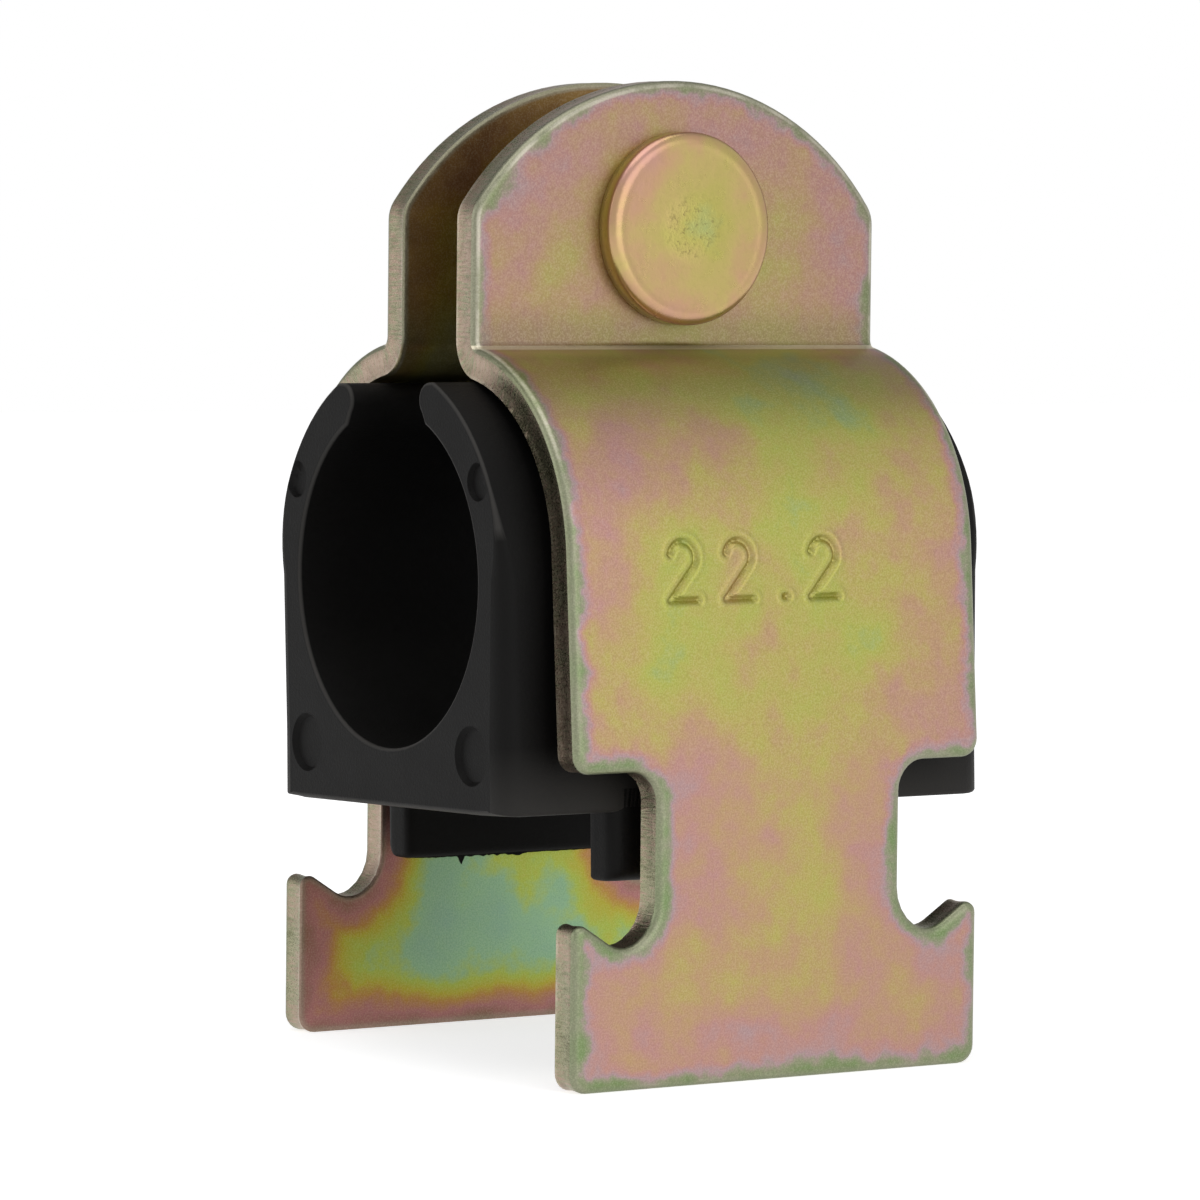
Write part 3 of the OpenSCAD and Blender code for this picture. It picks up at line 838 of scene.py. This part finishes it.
def chromate(name, seed):
    """Yellow chromate over zinc: iridescent clouds, bands along the edges, satin grain."""
    material, root, shader, place = new_material(name)
    shift = (seed * 0.013, seed * 0.021, seed * 0.017)
    rim, cut = attribute(root, "rim"), attribute(root, "cut")
    along, across = attribute(root, "along"), attribute(root, "across")
    height = root.node("ShaderNodeSeparateXYZ", {}, place, out=2) * 1000
    large = noise(root, place, 92, 3.0, 0.5, shift, (1, 1, 0.8))
    small = noise(root, place, 300, 4.0, 0.6, shift)
    blotch = noise(root, place, 760, 3.0, 0.6, shift)
    grain = noise(root, place, 9000, 2.0, 0.6, shift)
    tab = height.soft(*TAB_RISE)
    body = height.soft(*BODY_RISE) * (1 - tab)
    inner = across.soft(1.0, 2.0) * (1 - cut)
    # the film drifts in wide clouds, with small stains in them, and is thin along the edges
    drift = (large - 0.5) * (body * 0.5 + inner * 0.5 + 0.5) + (small - 0.5) * 0.34 + (blotch - 0.5) * 0.10
    edge = rim + ((small - 0.5) * 1.8 + (blotch - 0.5) * 0.8) * (1 - inner)
    inward, middle = edge.soft(0.3, 1.7 + inner * 1.8), rim.soft(1.5, 8.0 - inner * 2.0)
    film = (inward * (drift + 0.31) + middle * (inner * 0.16 + 0.19)
            + body * (1 - inner) * inward * 0.13 + small * 0.3 - 0.10).clamp()
    face = inner.mix(film.ramp(*FILM_BRIGHT), film.ramp(*FILM_DEEP))
    # the tabs' insides are golden brown: partly the film's own colour, partly painted reflection of the
    # two gold tabs in each other
    face = (inner * height.soft(28, 44) * 0.8).mix(face, (small * 0.6 + large * 0.4).ramp(
        (0.35, srgb(128, 96, 52)), (0.65, srgb(164, 138, 62))))
    # dark olive band on the shoulder top: partly the film's own olive, partly painted shade where the
    # upward face takes less light
    shoulder_olive_shade = height.soft(40.5, 45) * (1 - height.soft(46.3, 46.9)) * 0.45
    face = shoulder_olive_shade.mix(face, srgb(104, 104, 46))
    # the tab's outside face is pinker and darker: partly the film's own pink, partly painted shade
    face = (tab * (1 - inner) * 0.28).mix(face, srgb(128, 102, 96))
    # painted shade: dark olive band at the foot of the tab, just above the crease
    tab_foot_shade = tab * (1 - height.soft(*TAB_FOOT_SHADE_RISE)) * 0.45
    face = tab_foot_shade.mix(face, srgb(116, 116, 74))
    face = ((1 - rim.soft(0.1, 0.6)) * (0.5 + tab * 0.4)).mix(face, srgb(146, 146, 124))
    # painted highlights: bright lines along the crease under the tab and, broken, along the roll and the
    # burr
    crease_highlight = (height.soft(CREASE_HEIGHT - 0.16, CREASE_HEIGHT - 0.06)
              * (1 - height.soft(CREASE_HEIGHT + 0.06, CREASE_HEIGHT + 0.16)) * (1 - inner))
    roll = (rim.soft(0.14, 0.26) * (1 - rim.soft(0.34, 0.5)) * small.soft(0.36, 0.62)
            * (height.soft(36, 46) * 0.55 + 0.08) * (1 - inner * 0.6))
    face = crease_highlight.clamp(0.0, 0.9).mix(face, srgb(232, 222, 196))
    face = roll.mix(face, srgb(216, 210, 192))
    # torn cut face: fine upright streaks, duller and browner than the plated face
    streak_place = root.node("ShaderNodeCombineXYZ", {}, along, across * 0.12, 0.0)
    streak = root.node("ShaderNodeTexNoise", {}, Vector=streak_place, Scale=5.5, Detail=4.0,
                       Roughness=0.7)
    torn = (streak * 0.45 + large * 0.25 + small * 0.3).ramp(
        (0.36, srgb(118, 118, 86)), (0.46, srgb(152, 150, 120)), (0.54, srgb(172, 148, 130)),
        (0.64, srgb(186, 166, 148)))
    rolled = 1 - across.soft(0.45, 0.75)
    torn = (rolled * (0.3 - tab * 0.15)).mix(torn, srgb(98, 102, 76))
    torn = (blotch.soft(0.52, 0.64) * 0.18).mix(torn, srgb(70, 58, 40))
    # painted highlight: broken bright line along the burr on the inside edge
    burr_highlight = across.soft(1.86, 2.02) * small.soft(0.40, 0.65) * 0.4
    torn = burr_highlight.mix(torn, srgb(214, 206, 184))
    # painted shade: the cut face darkened beside the cushion, where the cushion shades it
    cushion_side_shade = (height.soft(*CUSHION_LOW_RISE)
                      * (1 - height.soft(*CUSHION_HIGH_RISE)) * 0.65)
    torn = cushion_side_shade.mix(torn, srgb(52, 44, 28))
    colour = cut.soft(0.3, 0.7).mix(face, torn)
    speck = grain - 0.5
    colour = (speck * 0.9).clamp(0.0, 0.12).mix(colour, srgb(228, 224, 196))
    colour = (speck * -1.1).clamp(0.0, 0.16).mix(colour, srgb(84, 70, 44))
    join(colour, shader, "Base Color")
    join((small * 0.14 + 0.33 - cut * 0.10 + speck * 0.3).clamp(0.18, 0.8), shader, "Roughness")
    join(cut * 0.15 + 0.75, shader, "Metallic")
    height_map = grain * 0.5 + blotch * 0.6 + small * 0.6 + streak * cut * 3.0
    bump = root.node("ShaderNodeBump", {}, Strength=0.3, Distance=0.00006, Height=height_map)
    join(bump, shader, "Normal")
    return material


def head_plating(name):
    """Bolt and nut plating: smoother than the straps, pink to the rim, a pitted patch mid-head."""
    material, root, shader, place = new_material(name)
    large = noise(root, place, 150, 2.0, 0.5, (0.31, 0.12, 0.4))
    small = noise(root, place, 700, 4.0, 0.6)
    pits = noise(root, place, 2600, 3.0, 0.7)
    offset = root.node("ShaderNodeVectorMath", {"operation": "SUBTRACT"}, place,
                       ((TAB_OUTER + HEAD_THICK) * MM, 0.0, BOLT_HEIGHT * MM))
    flat = root.node("ShaderNodeVectorMath", {"operation": "MULTIPLY"}, offset, (0, 1, 1))
    radius = root.node("ShaderNodeVectorMath", {"operation": "LENGTH"}, flat, out=1) * 1000
    depth = root.node("ShaderNodeSeparateXYZ", {}, offset) * -1000
    patch = (1 - radius.soft(1.2, 2.6)) * (1 - depth.soft(0.1, 0.5))
    film = (radius * 0.065 + large - 0.5 + (small - 0.5) * 0.3 + 0.16).clamp()
    face = film.ramp((0.0, srgb(150, 166, 112)), (0.25, srgb(176, 168, 92)), (0.42, srgb(184, 164, 104)),
                     (0.58, srgb(188, 150, 116)), (0.8, srgb(188, 142, 132)), (1.0, srgb(172, 132, 140)))
    head_side = depth.soft(0.35, 0.8) * (1 - depth.soft(1.8, 2.4))
    face = head_side.mix(face, srgb(186, 174, 96))
    dark = pits.soft(0.52, 0.66) * (patch * 0.5 + 0.06)
    join(dark.mix(face, srgb(104, 88, 60)), shader, "Base Color")
    join((small * 0.12 + 0.2 + pits * 0.06 + patch * 0.1).clamp(0.12, 0.8), shader, "Roughness")
    shader.inputs["Metallic"].default_value = 0.9
    relief = pits * (patch * 3.0 + 0.7) + small * 0.5
    bump = root.node("ShaderNodeBump", {}, Strength=0.3, Distance=0.00005, Height=relief)
    join(bump, shader, "Normal")
    return material


def moulded_rubber(name):
    """Black rubber with a fine moulded grain and a painted highlight along its crisp edges."""
    material, root, shader, place = new_material(name)
    cloud = noise(root, place, 220, 3.0, 0.6)
    grain = noise(root, place, 5200, 3.0, 0.7)
    body = (cloud * 0.5 + grain * 0.5).ramp(
        (0.3, srgb(8, 7, 6)), (0.55, srgb(12, 11, 10)), (0.8, srgb(18, 17, 16)))
    # painted highlight: paler grey along the cushion's crisp edges
    worn = attribute(root, "worn").clamp() * 0.6
    join(worn.mix(body, srgb(92, 90, 87)), shader, "Base Color")
    join((cloud * 0.12 + 0.46 + grain * 0.10).clamp(0.3, 0.9), shader, "Roughness")
    shader.inputs["Specular IOR Level"].default_value = 0.14
    bump = root.node("ShaderNodeBump", {}, Strength=0.45, Distance=0.00006, Height=grain + cloud * 0.5)
    join(bump, shader, "Normal")
    return material


def natural_nylon(name):
    """Off-white nylon with a faint clouding."""
    material, root, shader, place = new_material(name)
    cloud = noise(root, place, 400, 3.0, 0.5)
    join(cloud.ramp((0.3, srgb(206, 202, 184)), (0.7, srgb(226, 223, 208))), shader, "Base Color")
    join((cloud * 0.15 + 0.35).clamp(), shader, "Roughness")
    shader.inputs["Subsurface Weight"].default_value = 0.1
    return material


# Pieces on the clamp

def dress():
    """All visible pieces, each on its body and in its finish."""
    near_plate = chromate("near_strap_chromate", 1)
    far_plate = chromate("far_strap_chromate", 5)
    plating = head_plating("bolt_chromate")
    rubber = moulded_rubber("cushion_rubber")
    nylon = natural_nylon("ring_nylon")
    strokes = figure_strokes(FIGURE_TEXT, *FIGURE_PLACE, FIGURE_HEIGHT, FIGURE_ADVANCE)
    pieces = [
        (strap_mesh("near_strap_formed", 1, 0, strokes), "clamp_body", ("near_strap",), near_plate,
         "strap_plating"),
        (strap_mesh("far_strap_formed", -1, BOLT_DIA / 2 + 0.4, []), "far_half", ("far_strap",),
         far_plate, "strap_plating"),
        (whole_cushion(), "clamp_body", ("cushion",), rubber, "cushion_rubber"),
        (bolt_head(), "clamp_body", ("bolt",), plating, "bolt_plating"),
        (bolt_shank(), "clamp_body", (), plating, "bolt_plating"),
        (square_neck(), "clamp_body", (), plating, "bolt_plating"),
        (lock_nut(), "nut", ("lock_nut",), plating, "bolt_plating"),
        (nylon_ring(), "nut", ("nylon_ring",), nylon, "nylon"),
    ]
    for obj, body, nodes, material, slot in pieces:
        obj.data.materials.append(material)
        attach(obj, body)
        if nodes:
            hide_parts(*nodes)


def set_camera():
    """Camera at the photograph's place, from the fitted angles."""
    a, e, r = CAM_AZIMUTH, CAM_ELEVATION, CAM_ROLL
    right = Vector((math.cos(a), math.sin(a), 0))
    ahead = Vector((-math.sin(a) * math.cos(e), math.cos(a) * math.cos(e), -math.sin(e)))
    up = right.cross(ahead)
    target = right * CAM_ASIDE + Vector((0, 0, CAM_TARGET_HEIGHT))
    spot = target - ahead * CAM_DISTANCE
    rolled_right = right * math.cos(r) - up * math.sin(r)
    rolled_up = right * math.sin(r) + up * math.cos(r)
    data = bpy.data.cameras.new("photo_camera")
    data.lens = CAM_FOCAL
    data.sensor_width = 36
    data.sensor_fit = "HORIZONTAL"
    data.clip_start = 0.01
    data.clip_end = 20
    obj = bpy.data.objects.new("photo_camera", data)
    turn = Matrix((rolled_right, rolled_up, -ahead)).transposed()
    obj.matrix_world = Matrix.Translation(spot * MM) @ turn.to_4x4()
    bpy.context.scene.collection.objects.link(obj)
    bpy.context.scene.camera = obj


def area_lamp(name, place, target, size, power):
    """A soft square lamp that faces the target, places in millimetres."""
    data = bpy.data.lights.new(name, "AREA")
    data.shape = "RECTANGLE"
    data.size, data.size_y = size[0] * MM, size[1] * MM
    data.energy = power
    obj = bpy.data.objects.new(name, data)
    way = Vector(target) - Vector(place)
    obj.matrix_world = (Matrix.Translation(Vector(place) * MM)
                        @ way.to_track_quat("-Z", "Y").to_matrix().to_4x4())
    bpy.context.scene.collection.objects.link(obj)


def seen_directly(root):
    """1 for rays that show the background: from the camera, and mirrored or refracted ones."""
    camera, glossy, through = [root.node("ShaderNodeLightPath", {}, out=k)
                               for k in (LIGHT_PATH_CAMERA, LIGHT_PATH_GLOSSY, LIGHT_PATH_THROUGH)]
    return (camera + glossy + through).clamp(), camera


def set_world():
    """White surroundings with a dimmer ceiling behind, and a plain grey light from all sides."""
    world = bpy.data.worlds.new("studio")
    bpy.context.scene.world = world
    world.use_nodes = True
    tree = world.node_tree
    back = tree.nodes["Background"]
    root = Wire(tree, back.outputs[0])
    seen, camera = seen_directly(root)
    sky = root.node("ShaderNodeTexCoord", {}, out=0)
    rise = root.node("ShaderNodeVectorMath", {"operation": "DOT_PRODUCT"}, sky, CEILING_WAY, out=1)
    ceiling = (rise.soft(0.3, 1.0) * 0.7 + 0.12) * (1 - camera)
    tone = seen.mix((0.30, 0.30, 0.31, 1), (1, 1, 1, 1))
    join(ceiling.mix(tone, (0.05, 0.05, 0.05, 1)), back, 0)
    back.inputs[1].default_value = 1.0


def set_floor():
    """White floor that takes the object's shadow and is plain white further away."""
    size = 1.2
    mesh = bpy.data.meshes.new("floor")
    mesh.from_pydata([(-size, -size, 0), (size, -size, 0), (size, size, 0), (-size, size, 0)], [],
                     [(0, 1, 2, 3)])
    floor = bpy.data.objects.new("floor", mesh)
    bpy.context.scene.collection.objects.link(floor)
    material, root, shader, place = new_material("white_floor")
    seen, _ = seen_directly(root)
    away = root.node("ShaderNodeVectorMath", {"operation": "LENGTH"}, place, out=1) * 1000
    far = away.soft(60, 150)
    shader.inputs["Roughness"].default_value = 0.9
    shader.inputs["Specular IOR Level"].default_value = 0.1
    join(far.mix((0.8, 0.8, 0.8, 1), (0.5, 0.5, 0.5, 1)), shader, "Base Color")
    glow = (far * (1 - FLOOR_GLOW) + FLOOR_GLOW) * seen
    join(glow.mix((0, 0, 0, 1), (1, 1, 1, 1)), shader, "Emission Color")
    shader.inputs["Emission Strength"].default_value = 1.0
    mesh.materials.append(material)


def set_stage():
    """Floor, surroundings and soft lamps."""
    set_world()
    set_floor()
    middle = (0, 0, 30)
    area_lamp("key_right", (430, 60, 150), middle, (320, 320), 0.35)
    area_lamp("fill_left", (-160, -420, 220), middle, (300, 300), 0.3)
    area_lamp("top_soft", (60, -60, 480), middle, (400, 400), 0.8)
    bpy.context.scene.view_settings.view_transform = "Standard"


dress()
set_camera()
set_stage()
